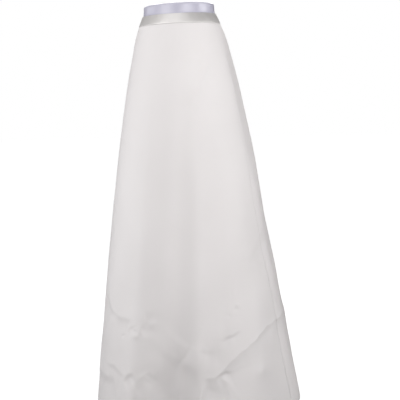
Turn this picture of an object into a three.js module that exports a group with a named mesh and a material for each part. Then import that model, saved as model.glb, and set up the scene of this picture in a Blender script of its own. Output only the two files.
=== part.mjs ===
// Floor-length A-line maxi skirt on a limbless skirt form with a pole and a round base.
// Millimetres, +Z up. The front of the skirt faces -Y and the wearer's left side is +X.
// The origin is on the floor under the pole.
// Angles go round the skirt in degrees: 0 at centre front, 90 at the +X side, 180 at centre back.
import * as THREE from 'three';

// Cloth
const seamGap = 0.3;          // between two pieces that meet
const clothWall = 1.5;        // thickness of the skirt panels
const bandWall = 2.5;         // thickness of the waistband, which is folded double
const bandProud = 0.8;        // how far the waistband stands out over the panels below it
const bandTop = 1132;         // height of the waistband's upper edge over the floor
const bandBottom = 1105;      // height of the waistband's lower edge
const hemHeight = 8;          // the hem clears the floor
const bandBlend = 34;         // height over which the panels come in under the waistband
const sideSeamAtWaist = 94;   // angle of the side seams at the waistband
const sideSeamAtHem = 108;    // and at the hem, where they swing to the back
const lapAngle = 8;           // half the lap of the waistband's two ends at centre back
const lapRamp = 11;           // angle in which the upper end climbs over the lower one

// Button on the lap
const buttonRadius = 8;
const buttonThickness = 4.5;

// Form, pole and base
const formTop = 1162;
const formEdgeRound = 6;
const formDome = 3;
const formClearance = 0.4;    // between the form's curve and the waistband's inside
const poleRadius = 12.5;
const flangeRadius = 46;
const flangeThickness = 4;
const baseRadius = 160;
const baseThickness = 8;
const baseEdge = 2.5;
const collarRadius = 22;
const collarHeight = 34;
const collarEdge = 3;

// How finely the solids are divided
const frontColumns = 42;
const backColumns = 17;
const skirtRows = 30;
const rowCrowding = 1.22;     // over 1, the rows lie closer towards the hem
const bandColumns = 72;
const bandRows = 2;
const formColumns = 40;
const formRowsBelow = 9;
const creaseSteps = 12;

// Outer outline of the skirt and waistband, level by level
const skirtSections = [
  { height: 8, halfWidth: 281, frontDepth: 262.7, backDepth: 401.5 },
  { height: 170, halfWidth: 264.5, frontDepth: 247.3, backDepth: 357.1 },
  { height: 350, halfWidth: 243.7, frontDepth: 226.7, backDepth: 313 },
  { height: 530, halfWidth: 221, frontDepth: 203.3, backDepth: 266.2 },
  { height: 690, halfWidth: 200.2, frontDepth: 181.1, backDepth: 231.3 },
  { height: 820, halfWidth: 181.7, frontDepth: 161.7, backDepth: 202.6 },
  { height: 930, halfWidth: 164, frontDepth: 142.6, backDepth: 174.4 },
  { height: 1010, halfWidth: 148.1, frontDepth: 124.4, backDepth: 147.5 },
  { height: 1070, halfWidth: 135.8, frontDepth: 110.7, backDepth: 122.7 },
  { height: 1105, halfWidth: 125.1, frontDepth: 100.1, backDepth: 103.6 },
  { height: 1132, halfWidth: 114.1, frontDepth: 90.2, backDepth: 91.3 },
];

// Outline of the form below and above the waistband, which rests on it all round
const formBelow = [
  { height: 800, halfWidth: 147, frontDepth: 104, backDepth: 116 },
  { height: 850, halfWidth: 154, frontDepth: 114, backDepth: 128 },
  { height: 925, halfWidth: 156, frontDepth: 121, backDepth: 136 },
  { height: 1000, halfWidth: 144.5, frontDepth: 117, backDepth: 129 },
  { height: 1060, halfWidth: 133, frontDepth: 107.5, backDepth: 116 },
];
const formAbove = [
  { height: 1150, halfWidth: 109, frontDepth: 85.4, backDepth: 86.4 },
  { height: 1162, halfWidth: 108.6, frontDepth: 85, backDepth: 86 },
];

// Soft upright waves. Each has its middle angle at the waist and at the hem, the height where
// it starts, its spread round the hem and how far it stands out (or in, below zero) at the hem
const waves = [
  { atWaist: 38, atHem: 19, starts: 1040, spread: 44, depth: -15 },
  { atWaist: 6, atHem: -10, starts: 1000, spread: 56, depth: 9 },
  { atWaist: 52, atHem: 39, starts: 820, spread: 34, depth: 6 },
  { atWaist: 66, atHem: 57, starts: 560, spread: 30, depth: -6 },
  { atWaist: 82, atHem: 78, starts: 900, spread: 58, depth: 8 },
  { atWaist: 112, atHem: 108, starts: 1000, spread: 34, depth: -6 },
  { atWaist: 156, atHem: 157, starts: 940, spread: 50, depth: 10 },
  { atWaist: 170, atHem: 172, starts: 860, spread: 36, depth: -12 },
  { atWaist: -172, atHem: -174, starts: 900, spread: 48, depth: 9 },
  { atWaist: -146, atHem: -150, starts: 960, spread: 50, depth: -14 },
  { atWaist: -118, atHem: -124, starts: 940, spread: 60, depth: 12 },
  { atWaist: -88, atHem: -94, starts: 1000, spread: 46, depth: -13 },
  { atWaist: -56, atHem: -66, starts: 620, spread: 50, depth: 5 },
];

// The largest creases. Each runs on a bent line from its start to its end, given as angle and
// height, and has a furrow of its own width and depth with a raised lip, above or below it
const creases = [
  { start: [114, 276], bend: [75, 224], end: [54, 144], width: 21, depth: 9, lip: 6, side: -1 },
  { start: [104, 600], bend: [100, 492], end: [78, 440], width: 24, depth: 4, lip: 3, side: -1 },
  { start: [-31, 348], bend: [-14, 282], end: [14, 292], width: 20, depth: 5, lip: 4, side: 1 },
  { start: [-43, 172], bend: [-20, 150], end: [-4, 132], width: 20, depth: 6, lip: 4, side: 1 },
  { start: [-6, 131], bend: [6, 146], end: [15, 196], width: 20, depth: 5, lip: 3, side: 1 },
  { start: [-70, 250], bend: [-96, 205], end: [-126, 176], width: 24, depth: 8, lip: 6, side: 1 },
  { start: [-168, 330], bend: [-150, 262], end: [-128, 250], width: 24, depth: 6, lip: 5, side: 1 },
  { start: [176, 150], bend: [160, 196], end: [134, 214], width: 24, depth: 8, lip: 6, side: -1 },
];

const paint = {
  cloth: { color: 0xe9e7e2, roughness: 0.62, metalness: 0 },
  band: { color: 0xe6e2de, roughness: 0.42, metalness: 0 },
  form: { color: 0xd6d3e2, roughness: 0.35, metalness: 0 },
  steel: { color: 0xb9bbbe, roughness: 0.34, metalness: 1 },
};

const radians = THREE.MathUtils.degToRad;
const lerp = THREE.MathUtils.lerp;
const clamp01 = (value) => THREE.MathUtils.clamp(value, 0, 1);

// Slope of a table's column at a row, from the rows on both sides
function slopeAt(table, row, column) {
  const before = table[Math.max(row - 1, 0)];
  const after = table[Math.min(row + 1, table.length - 1)];
  const here = table[row];
  if (before === here || after === here) {
    return (after[column] - before[column]) / (after.height - before.height);
  }
  const below = (here[column] - before[column]) / (here.height - before.height);
  const above = (after[column] - here[column]) / (after.height - here.height);
  const belowShare = (after.height - here.height) / (after.height - before.height);
  return below * belowShare + above * (1 - belowShare);
}

// Smooth (Hermite) reading of a table's column at a height
function readColumn(table, column, height) {
  let row = 0;
  while (row < table.length - 2 && height > table[row + 1].height) row += 1;
  const low = table[row];
  const high = table[row + 1];
  const span = high.height - low.height;
  const t = (height - low.height) / span;
  const lift = t * t * (3 - 2 * t);
  const lowSlope = slopeAt(table, row, column) * span * t * (1 - t) * (1 - t);
  const highSlope = slopeAt(table, row + 1, column) * span * t * t * (1 - t);
  return lerp(low[column], high[column], lift) + lowSlope - highSlope;
}

function sectionAt(table, height) {
  return {
    halfWidth: readColumn(table, 'halfWidth', height),
    frontDepth: readColumn(table, 'frontDepth', height),
    backDepth: readColumn(table, 'backDepth', height),
  };
}

// A point of an egg-shaped section: a half ellipse in front and a deeper one behind,
// moved out along the section's own normal
function pointOnSection(section, angle, height, outward) {
  const turn = radians(angle);
  const depth = Math.cos(turn) > 0 ? section.frontDepth : section.backDepth;
  const normal = new THREE.Vector2(depth * Math.sin(turn), -section.halfWidth * Math.cos(turn));
  normal.normalize();
  return new THREE.Vector3(
    section.halfWidth * Math.sin(turn) + outward * normal.x,
    -depth * Math.cos(turn) + outward * normal.y,
    height,
  );
}

// Millimetres round the section for each degree of angle
function arcPerDegree(section, angle) {
  const turn = radians(angle);
  const depth = Math.cos(turn) > 0 ? section.frontDepth : section.backDepth;
  return radians(Math.hypot(section.halfWidth * Math.cos(turn), depth * Math.sin(turn)));
}

// The shorter way from one angle to another, between -180 and 180
function angleBetween(from, to) {
  return THREE.MathUtils.euclideanModulo(to - from + 180, 360) - 180;
}

function waveDepth(wave, section, angle, height) {
  const grown = clamp01((wave.starts - height) / wave.starts);
  const middle = lerp(wave.atWaist, wave.atHem, clamp01((bandBottom - height) / bandBottom));
  const arc = radians(angleBetween(middle, angle)) * section.halfWidth;
  const spread = wave.spread * (0.45 + 0.55 * grown);
  return wave.depth * grown ** 1.3 * Math.exp(-((arc / spread) ** 2));
}

// Nearest point of a crease's bent line: how far along it, and the distance to its left side
function nearestOnCrease(crease, section, angle, height) {
  let best = { distance: Infinity, along: 0, signed: 0 };
  const here = new THREE.Vector2();
  const next = new THREE.Vector2();
  for (let step = 0; step <= creaseSteps; step += 1) {
    const t = step / creaseSteps;
    bentLine(crease, t, section, angle, here);
    bentLine(crease, Math.min(t + 0.5 / creaseSteps, 1.01), section, angle, next);
    const toPoint = new THREE.Vector2(-here.x, height - here.y);
    const travel = next.sub(here).normalize();
    const distance = toPoint.length();
    if (distance < best.distance) {
      const signed = travel.x * toPoint.y - travel.y * toPoint.x;
      best = { distance, along: t, signed };
    }
  }
  return best;
}

// A crease's line on the unrolled cloth, measured from the angle that is asked about
function bentLine(crease, t, section, angle, target) {
  const startShare = (1 - t) ** 2;
  const bendShare = 2 * t * (1 - t);
  const endShare = t ** 2;
  const middle = startShare * angleBetween(angle, crease.start[0])
    + bendShare * angleBetween(angle, crease.bend[0])
    + endShare * angleBetween(angle, crease.end[0]);
  const height = startShare * crease.start[1] + bendShare * crease.bend[1] + endShare * crease.end[1];
  return target.set(radians(middle) * section.halfWidth, height);
}

// A furrow with a raised lip on one side, fading to nothing at both ends of its line
function creaseDepth(crease, section, angle, height) {
  const near = nearestOnCrease(crease, section, angle, height);
  if (near.distance > 5 * crease.width) return 0;
  const across = (near.signed * crease.side) / crease.width;
  const past = Math.sqrt(Math.max(near.distance ** 2 - near.signed ** 2, 0)) / crease.width;
  const fade = Math.sin(Math.PI * (0.08 + 0.84 * near.along)) * Math.exp(-(past ** 2));
  const furrow = -crease.depth * Math.exp(-(across ** 2));
  const lip = crease.lip * Math.exp(-(((across - 1.5) / 1.2) ** 2));
  return fade * (furrow + lip);
}

// How far the cloth stands out from its plain section at a place
function foldDepth(angle, height) {
  const section = sectionAt(skirtSections, height);
  let depth = 0;
  for (const wave of waves) depth += waveDepth(wave, section, angle, height);
  for (const crease of creases) depth += creaseDepth(crease, section, angle, height);
  const underBand = clamp01((height - (bandBottom - bandBlend)) / bandBlend);
  return depth - bandProud * underBand * underBand * (3 - 2 * underBand);
}

function skirtPoint(angle, height, inward) {
  const section = sectionAt(skirtSections, height);
  return pointOnSection(section, angle, height, foldDepth(angle, height) - inward);
}

function sideSeamAngle(height) {
  return lerp(sideSeamAtHem, sideSeamAtWaist, clamp01(height / bandBottom));
}

// Turns an angle on a seam into the edge of the panel beside it
function panelEdge(angle, height, side) {
  const section = sectionAt(skirtSections, height);
  return angle + (side * 0.55 * seamGap) / arcPerDegree(section, angle);
}

function rowHeight(up) {
  return lerp(hemHeight, bandBottom - seamGap, up ** rowCrowding);
}

// A closed wall over a grid: pointAt(across, up, inner) gives both of its faces
function wallGeometry(columns, rows, pointAt) {
  const positions = [];
  const faces = [];
  const perFace = (columns + 1) * (rows + 1);
  for (const inner of [false, true]) {
    for (let j = 0; j <= rows; j += 1) {
      for (let i = 0; i <= columns; i += 1) {
        positions.push(...pointAt(i / columns, j / rows, inner).toArray());
      }
    }
  }
  const at = (i, j, inner) => (inner ? perFace : 0) + j * (columns + 1) + i;
  const quad = (a, b, c, d) => faces.push(a, b, c, a, c, d);
  for (let j = 0; j < rows; j += 1) {
    for (let i = 0; i < columns; i += 1) {
      quad(at(i, j), at(i + 1, j), at(i + 1, j + 1), at(i, j + 1));
      quad(at(i, j, true), at(i, j + 1, true), at(i + 1, j + 1, true), at(i + 1, j, true));
    }
    quad(at(0, j), at(0, j + 1), at(0, j + 1, true), at(0, j, true));
    quad(at(columns, j), at(columns, j, true), at(columns, j + 1, true), at(columns, j + 1));
  }
  for (let i = 0; i < columns; i += 1) {
    quad(at(i, 0), at(i, 0, true), at(i + 1, 0, true), at(i + 1, 0));
    quad(at(i, rows), at(i + 1, rows), at(i + 1, rows, true), at(i, rows, true));
  }
  return indexedGeometry(positions, faces);
}

// A closed solid from rings stacked upwards, with a fan over each end
function stackGeometry(rings) {
  const count = rings[0].length;
  const positions = rings.flat().flatMap((point) => point.toArray());
  const faces = [];
  for (let j = 0; j < rings.length - 1; j += 1) {
    for (let i = 0; i < count; i += 1) {
      const a = j * count + i;
      const b = j * count + ((i + 1) % count);
      faces.push(a, b, b + count, a, b + count, a + count);
    }
  }
  const lastRing = (rings.length - 1) * count;
  for (let i = 1; i < count - 1; i += 1) {
    faces.push(0, i + 1, i);
    faces.push(lastRing, lastRing + i, lastRing + i + 1);
  }
  return indexedGeometry(positions, faces);
}

function indexedGeometry(positions, faces) {
  const geometry = new THREE.BufferGeometry();
  geometry.setAttribute('position', new THREE.Float32BufferAttribute(positions, 3));
  geometry.setIndex(faces);
  geometry.computeVertexNormals();
  return geometry;
}

function namedMesh(name, geometry, look) {
  const mesh = new THREE.Mesh(geometry, new THREE.MeshStandardMaterial(look));
  mesh.name = name;
  return mesh;
}

// A skirt panel between two seams, each given as a function of height
function makePanel(name, columns, firstSeam, lastSeam) {
  const geometry = wallGeometry(columns, skirtRows, (across, up, inner) => {
    const height = rowHeight(up);
    const first = panelEdge(firstSeam(height), height, 1);
    const last = panelEdge(lastSeam(height), height, -1);
    return skirtPoint(lerp(first, last, across), height, inner ? clothWall : 0);
  });
  return namedMesh(name, geometry, paint.cloth);
}

// The waistband runs once round, and its last end climbs over its first at centre back
function lapLift(angle) {
  const climb = clamp01((angle - (180 - lapAngle - lapRamp)) / lapRamp);
  return (bandWall + seamGap) * climb * climb * (3 - 2 * climb);
}

function makeWaistband() {
  const firstAngle = -180 - lapAngle;
  const lastAngle = 180 + lapAngle - 0.5;
  const geometry = wallGeometry(bandColumns, bandRows, (across, up, inner) => {
    const height = lerp(bandBottom, bandTop, up);
    const angle = lerp(firstAngle, lastAngle, across);
    const outward = lapLift(angle) - (inner ? bandWall : 0);
    return pointOnSection(sectionAt(skirtSections, height), angle, height, outward);
  });
  return namedMesh('waistband', geometry, paint.band);
}

// A low domed button whose back follows the band's slope at centre back
function makeButton() {
  const middle = (bandTop + bandBottom) / 2;
  const low = sectionAt(skirtSections, bandBottom).backDepth;
  const high = sectionAt(skirtSections, bandTop).backDepth;
  const slope = Math.atan2(low - high, bandTop - bandBottom);
  const profile = [new THREE.Vector2(0, 0), new THREE.Vector2(buttonRadius - 1, 0)];
  for (let step = 0; step <= 4; step += 1) {
    const turn = radians(22.5 * step);
    const radius = buttonRadius * Math.cos(turn);
    profile.push(new THREE.Vector2(radius, 1 + (buttonThickness - 1) * Math.sin(turn)));
  }
  profile[profile.length - 1].x = 0;
  const button = namedMesh('waist_button', new THREE.LatheGeometry(profile, 20), paint.band);
  button.rotation.x = slope;
  const out = sectionAt(skirtSections, middle).backDepth + bandWall + seamGap;
  const clearance = seamGap + 0.35;
  button.position.set(0, out + clearance * Math.cos(slope), middle + clearance * Math.sin(slope));
  return button;
}

// The form's table, with the levels of the waistband worked out from the band's inside
function formTable() {
  const inward = bandWall + formClearance;
  const rested = [0, 0.5, 1].map((up) => {
    const height = lerp(bandBottom, bandTop, up);
    const { halfWidth, frontDepth, backDepth } = sectionAt(skirtSections, height);
    return {
      height,
      halfWidth: halfWidth - inward,
      frontDepth: frontDepth - inward,
      backDepth: backDepth - inward,
    };
  });
  return [...formBelow, ...rested, ...formAbove];
}

function formRing(table, height, inset) {
  const section = sectionAt(table, height);
  const ring = [];
  for (let i = 0; i < formColumns; i += 1) {
    ring.push(pointOnSection(section, (360 * i) / formColumns, height, -inset));
  }
  return ring;
}

// The smooth form, with a rounded upper edge, a low dome and a flat underside
function makeForm() {
  const table = formTable();
  const roundStart = formTop - formEdgeRound;
  const rings = [];
  for (let row = 0; row < formRowsBelow; row += 1) {
    rings.push(formRing(table, lerp(formBelow[0].height, bandBottom, row / formRowsBelow), 0));
  }
  for (let row = 0; row < bandRows; row += 1) {
    rings.push(formRing(table, lerp(bandBottom, bandTop, row / bandRows), 0));
  }
  for (const up of [0, 0.5, 1]) rings.push(formRing(table, lerp(bandTop, roundStart, up), 0));
  for (const turn of [30, 60, 90]) {
    const rise = formEdgeRound * Math.sin(radians(turn));
    const inset = formEdgeRound * (1 - Math.cos(radians(turn)));
    rings.push(formRing(table, roundStart + rise, inset));
  }
  const edge = rings[rings.length - 1];
  for (const share of [0.35, 0.7, 0.92]) {
    const height = formTop + formDome * (1 - (1 - share) ** 2);
    rings.push(edge.map(({ x, y }) => new THREE.Vector3(x * (1 - share), y * (1 - share), height)));
  }
  return namedMesh('form', stackGeometry(rings), paint.form);
}

// A solid of revolution from radius and height pairs that start and end on the axis
function turned(name, pairs, sides, look) {
  const profile = pairs.map(([radius, height]) => new THREE.Vector2(radius, height));
  const mesh = namedMesh(name, new THREE.LatheGeometry(profile, sides), look);
  mesh.rotation.x = Math.PI / 2;
  return mesh;
}

function makePole() {
  const foot = baseThickness + seamGap;
  const head = formBelow[0].height - seamGap;
  const pairs = [[0, foot], [poleRadius, foot], [poleRadius, head - flangeThickness],
    [flangeRadius, head - flangeThickness], [flangeRadius, head], [0, head]];
  return turned('pole', pairs, 28, paint.steel);
}

function makeBase() {
  const bore = poleRadius + seamGap;
  const collarTop = baseThickness + collarHeight;
  const pairs = [[0, 0], [baseRadius, 0], [baseRadius, baseThickness - baseEdge],
    [baseRadius - baseEdge, baseThickness], [collarRadius, baseThickness],
    [collarRadius, collarTop - collarEdge], [collarRadius - collarEdge, collarTop],
    [bore, collarTop], [bore, baseThickness], [0, baseThickness]];
  return turned('base', pairs, 48, paint.steel);
}

const part = new THREE.Group();
part.add(makePanel('skirt_front', frontColumns, (height) => -sideSeamAngle(height), sideSeamAngle));
part.add(makePanel('skirt_back_right', backColumns, sideSeamAngle, () => 180));
part.add(makePanel('skirt_back_left', backColumns, () => -180, (height) => -sideSeamAngle(height)));
part.add(makeWaistband());
part.add(makeButton());
part.add(makeForm());
part.add(makePole());
part.add(makeBase());

export default part;
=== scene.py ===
import math

import bmesh
import bpy
import numpy as np
from mathutils import Matrix, Vector


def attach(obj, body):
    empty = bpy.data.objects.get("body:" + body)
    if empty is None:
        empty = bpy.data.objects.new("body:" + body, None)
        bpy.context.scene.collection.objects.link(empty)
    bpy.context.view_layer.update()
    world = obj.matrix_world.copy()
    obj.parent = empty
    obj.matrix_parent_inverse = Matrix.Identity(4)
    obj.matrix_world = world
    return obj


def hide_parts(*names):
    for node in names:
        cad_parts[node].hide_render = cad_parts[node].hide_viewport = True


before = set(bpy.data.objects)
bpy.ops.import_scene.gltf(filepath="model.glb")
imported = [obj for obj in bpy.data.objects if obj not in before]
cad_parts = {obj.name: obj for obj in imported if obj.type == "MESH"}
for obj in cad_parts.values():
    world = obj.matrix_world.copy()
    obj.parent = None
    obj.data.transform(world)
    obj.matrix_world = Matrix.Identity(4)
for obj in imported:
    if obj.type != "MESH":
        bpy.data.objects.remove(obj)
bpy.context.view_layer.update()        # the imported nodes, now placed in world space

body = "root"
print("frame loaded")

# Metres, +Z up, the front of the skirt faces -Y. Angles go round the skirt in degrees:
# 0 at centre front, 90 at the +X side, 180 at centre back.

cameraView = {
    "azimuth": 38.0,       # degrees from straight in front, towards +X
    "distance": 3.058,
    "height": 0.846,
    "pitch": -4.565,
    "yaw": -0.84,          # the skirt stands a little left of the picture's middle
    "roll": -1.7,
    "lens": 95.04,
    "sensor": 36.0,
}


def placeRound(azimuth, distance, height):
    # a place at a distance from the pole: x is the distance times the sine, y minus it times the cosine
    turn = math.radians(azimuth)
    return Vector((distance * math.sin(turn), -distance * math.cos(turn), height))


def makeCamera(view):
    # it looks back at the pole: rolled about its own axis, tipped up from straight down, then turned
    data = bpy.data.cameras.new("camera")
    data.lens = view["lens"]
    data.sensor_width = view["sensor"]
    camera = bpy.data.objects.new("camera", data)
    camera.location = placeRound(view["azimuth"], view["distance"], view["height"])
    turned = (Matrix.Rotation(math.radians(view["azimuth"] + view["yaw"]), 3, "Z")
              @ Matrix.Rotation(math.radians(90 + view["pitch"]), 3, "X")
              @ Matrix.Rotation(math.radians(view["roll"]), 3, "Z"))
    camera.rotation_euler = turned.to_euler("XYZ")
    bpy.context.scene.collection.objects.link(camera)
    bpy.context.scene.camera = camera


makeCamera(cameraView)

# soft boxes round the pole: degrees, metres and watts, each aimed at a height on the pole
softBox = {"size": (1.4, 1.4), "aim": 0.6, "spread": 180, "tint": (1, 1, 1)}
coolTint = (0.965, 0.985, 1.0)
lights = {
    "leftHigh": {"azimuth": -20, "distance": 2.45, "height": 1.74, "power": 27.0},
    "leftLow": {"azimuth": -70, "distance": 2.69, "height": 0.84, "power": 24.0, "tint": coolTint},
    "frontHigh": {"azimuth": 38, "distance": 2.45, "height": 1.62, "power": 29.8},
    "rightHigh": {"azimuth": 102, "distance": 2.45, "height": 1.42, "power": 32.8},
    "rightLow": {"azimuth": 126, "distance": 2.67, "height": 0.95, "power": 1.3, "aim": 0.8,
                 "spread": 60, "tint": coolTint},
    "bandFront": {"azimuth": -3, "distance": 1.65, "height": 3.00, "power": 6.5, "aim": 1.1,
                  "size": (1.4, 0.6), "tint": coolTint},
    "bandSide": {"azimuth": -76, "distance": 1.50, "height": 2.90, "power": 5.0, "aim": 1.1,
                 "size": (1.0, 0.6)},
    "backHigh": {"azimuth": 215, "distance": 2.21, "height": 2.15, "power": 45.0},
}


def makeLight(name, spec):
    # a rectangular soft box that faces the pole at its aim height
    data = bpy.data.lights.new(name, "AREA")
    data.shape = "RECTANGLE"
    data.size, data.size_y = spec["size"]
    data.energy = spec["power"]
    data.spread = math.radians(spec["spread"])
    data.color = spec["tint"]
    light = bpy.data.objects.new(name, data)
    light.location = placeRound(spec["azimuth"], spec["distance"], spec["height"])
    light.visible_camera = False
    light.rotation_euler = (Vector((0, 0, spec["aim"])) - light.location).to_track_quat("-Z", "Y").to_euler()
    bpy.context.scene.collection.objects.link(light)


for lightName, lightSpec in lights.items():
    makeLight(lightName, {**softBox, **lightSpec})

studio = {
    "ambient": 0.08,         # even light from all round
    "backdrop": 1.0,         # what the camera sees behind the object
    "floorHalf": 30.0,
    "floorTone": 0.17,
    "floorRoughness": 0.9,
    "floorSpecular": 0.1,
    "pool": (0.45, 1.3),     # the floor's glow rises from poolGlow to 1 between these distances
    "poolGlow": 0.92,
}


def nodeMaterial(name, **settings):
    # a Principled material with its plain values set on the shader's own sockets
    material = bpy.data.materials.new(name)
    material.use_nodes = True
    shader = material.node_tree.nodes["Principled BSDF"]
    for socket, value in settings.items():
        shader.inputs[socket.replace("_", " ")].default_value = value
    return material, material.node_tree, shader


def addNode(tree, kind, **settings):
    # a node with its settings, each a property of the node or else an input of that name, which
    # takes a plain value or another node's output
    node = tree.nodes.new(kind)
    for key, value in settings.items():
        if key not in node.inputs:
            setattr(node, key, value)
        elif isinstance(value, bpy.types.NodeSocket):
            tree.links.new(value, node.inputs[key])
        else:
            node.inputs[key].default_value = value
    return node


def makeWorld(spec):
    # white where the camera looks, and a much dimmer even light from all round for the rest
    world = bpy.data.worlds.new("studio")
    bpy.context.scene.world = world
    world.use_nodes = True
    tree = world.node_tree
    tree.nodes.clear()
    output = addNode(tree, "ShaderNodeOutputWorld")
    mix = addNode(tree, "ShaderNodeMixShader")
    path = addNode(tree, "ShaderNodeLightPath")
    for slot, strength in ((1, spec["ambient"]), (2, spec["backdrop"])):
        background = addNode(tree, "ShaderNodeBackground", Color=(1, 1, 1, 1), Strength=strength)
        tree.links.new(background.outputs[0], mix.inputs[slot])
    tree.links.new(path.outputs["Is Camera Ray"], mix.inputs[0])
    tree.links.new(mix.outputs[0], output.inputs["Surface"])


def makeFloor(spec):
    # a pale matt floor; where the camera sees it, it also glows, fully at some distance and a little
    # less round the pole, so that it runs into the white behind it
    half = spec["floorHalf"]
    mesh = bpy.data.meshes.new("floor")
    corners = [(-half, -half, 0), (half, -half, 0), (half, half, 0), (-half, half, 0)]
    mesh.from_pydata(corners, [], [(0, 1, 2, 3)])
    material, tree, shader = nodeMaterial(
        "paleFloor", Base_Color=(spec["floorTone"],) * 3 + (1,), Roughness=spec["floorRoughness"],
        Specular_IOR_Level=spec["floorSpecular"], Emission_Color=(1, 1, 1, 1))
    place = addNode(tree, "ShaderNodeTexCoord")
    reach = addNode(tree, "ShaderNodeVectorMath", operation="LENGTH")
    tree.links.new(place.outputs["Object"], reach.inputs[0])
    spread = addNode(tree, "ShaderNodeMapRange", interpolation_type="SMOOTHSTEP",
                     Value=reach.outputs["Value"])
    spread.inputs["From Min"].default_value, spread.inputs["From Max"].default_value = spec["pool"]
    spread.inputs["To Min"].default_value = spec["poolGlow"]
    seen = addNode(tree, "ShaderNodeLightPath")
    glow = addNode(tree, "ShaderNodeMath", operation="MULTIPLY")
    tree.links.new(spread.outputs["Result"], glow.inputs[0])
    tree.links.new(seen.outputs["Is Camera Ray"], glow.inputs[1])
    tree.links.new(glow.outputs[0], shader.inputs["Emission Strength"])
    mesh.materials.append(material)
    floor = bpy.data.objects.new("floor", mesh)
    bpy.context.scene.collection.objects.link(floor)


makeWorld(studio)
makeFloor(studio)
bpy.context.scene.view_settings.view_transform = "Standard"
print("camera and lights placed")


def meshObject(name, points, faces, material, uv=None):
    # points (n, 3), faces as an index array of quads or triangles, uv one pair for each point
    mesh = bpy.data.meshes.new(name)
    points = np.asarray(points, dtype=np.float32)
    faces = np.asarray(faces, dtype=np.int32)
    corners = faces.shape[1]
    mesh.vertices.add(len(points))
    mesh.vertices.foreach_set("co", points.ravel())
    mesh.loops.add(faces.size)
    mesh.loops.foreach_set("vertex_index", faces.ravel())
    mesh.polygons.add(len(faces))
    mesh.polygons.foreach_set("loop_start", np.arange(0, faces.size, corners, dtype=np.int32))
    mesh.polygons.foreach_set("loop_total", np.full(len(faces), corners, dtype=np.int32))
    mesh.polygons.foreach_set("use_smooth", np.full(len(faces), True))
    if uv is not None:
        layer = mesh.uv_layers.new(name="cloth")
        layer.data.foreach_set("uv", np.asarray(uv, dtype=np.float32)[faces.ravel()].ravel())
    mesh.update()
    mesh.validate()
    mesh.materials.append(material)
    piece = bpy.data.objects.new(name, mesh)
    bpy.context.scene.collection.objects.link(piece)
    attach(piece, body)
    return piece


def mended(piece, reach=0.000004):
    # merges the points that fall together, as at a turned shape's poles, and turns all faces outwards
    work = bmesh.new()
    work.from_mesh(piece.data)
    bmesh.ops.remove_doubles(work, verts=work.verts, dist=reach)
    bmesh.ops.recalc_face_normals(work, faces=work.faces)
    work.to_mesh(piece.data)
    work.free()


def gridFaces(rows, columns, closed=False, flip=False, start=0):
    # quads of a grid whose points run along each row; closed joins the last column to the first
    across = columns if closed else columns - 1
    row, column = np.meshgrid(np.arange(rows - 1), np.arange(across), indexing="ij")
    nextColumn = (column + 1) % columns
    quads = np.stack([row * columns + column, row * columns + nextColumn,
                      (row + 1) * columns + nextColumn, (row + 1) * columns + column], axis=-1).reshape(-1, 4)
    return (quads[:, ::-1] if flip else quads) + start


def gridNormals(points):
    # the cross product of the steps along the two directions of the grid, made unit length
    normal = np.cross(np.gradient(points, axis=1), np.gradient(points, axis=0))
    return normal / np.linalg.norm(normal, axis=-1, keepdims=True)


def wallFaces(rows, columns):
    # the outer grid, an inner grid of every second point turned round, and four rims between them
    innerRows, innerColumns = rows // 2 + 1, columns // 2 + 1
    count = rows * columns
    outer = gridFaces(rows, columns)
    inner = gridFaces(innerRows, innerColumns, flip=True, start=count)
    outerIndex = np.arange(count).reshape(rows, columns)
    innerIndex = np.arange(innerRows * innerColumns).reshape(innerRows, innerColumns) + count

    def rim(fine, coarse):
        # three triangles to each step of the coarse side, beside which lie two of the fine side
        first, middle, last = fine[:-2:2], fine[1:-1:2], fine[2::2]
        near, far = coarse[:-1], coarse[1:]
        threes = ((middle, first, near), (far, middle, near), (last, middle, far))
        return np.concatenate([np.stack(three, axis=-1) for three in threes])

    rims = np.concatenate([
        rim(outerIndex[0], innerIndex[0]), rim(outerIndex[-1][::-1], innerIndex[-1][::-1]),
        rim(outerIndex[:, 0][::-1], innerIndex[:, 0][::-1]), rim(outerIndex[:, -1], innerIndex[:, -1])])
    quads = np.concatenate([outer, inner])
    return np.concatenate([quads[:, [0, 1, 2]], quads[:, [0, 2, 3]], rims])


def wallObject(name, outer, thickness, uv, material):
    # a closed cloth wall with an odd number of rows and columns: the outer grid, and every second
    # point of it moved in along its own normal
    rows, columns = outer.shape[:2]
    inner = (outer - gridNormals(outer) * thickness)[::2, ::2]
    points = np.concatenate([outer.reshape(-1, 3), inner.reshape(-1, 3)])
    pairs = np.concatenate([uv.reshape(-1, 2), uv[::2, ::2].reshape(-1, 2)])
    return meshObject(name, points, wallFaces(rows, columns), material, uv=pairs)


def arcLengths(points, axis):
    # running length along one direction of the grid: the sum of the steps' lengths, from 0
    step = np.linalg.norm(np.diff(points, axis=axis), axis=-1)
    pad = [(0, 0), (0, 0)]
    pad[axis] = (1, 0)
    return np.pad(np.cumsum(step, axis=axis), pad)


def smoothStep(value):
    # three squares less two cubes of the value, which is held between 0 and 1
    value = np.clip(value, 0, 1)
    return value * value * (3 - 2 * value)


skirtForm = {
    "hem": 0.008,            # height of the hem over the floor
    "bandBottom": 1.105,
    "bandTop": 1.132,
    "bandProud": 0.0008,     # the waistband stands out this far over the panels
    "bandBlend": 0.034,      # the panels draw in to that over this height
    "seamAtWaist": 94.0,     # angle of the side seams
    "seamAtHem": 108.0,
    "wall": 0.0015,
    "seamGap": 0.0003,       # left between the makers' pieces
}

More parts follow.
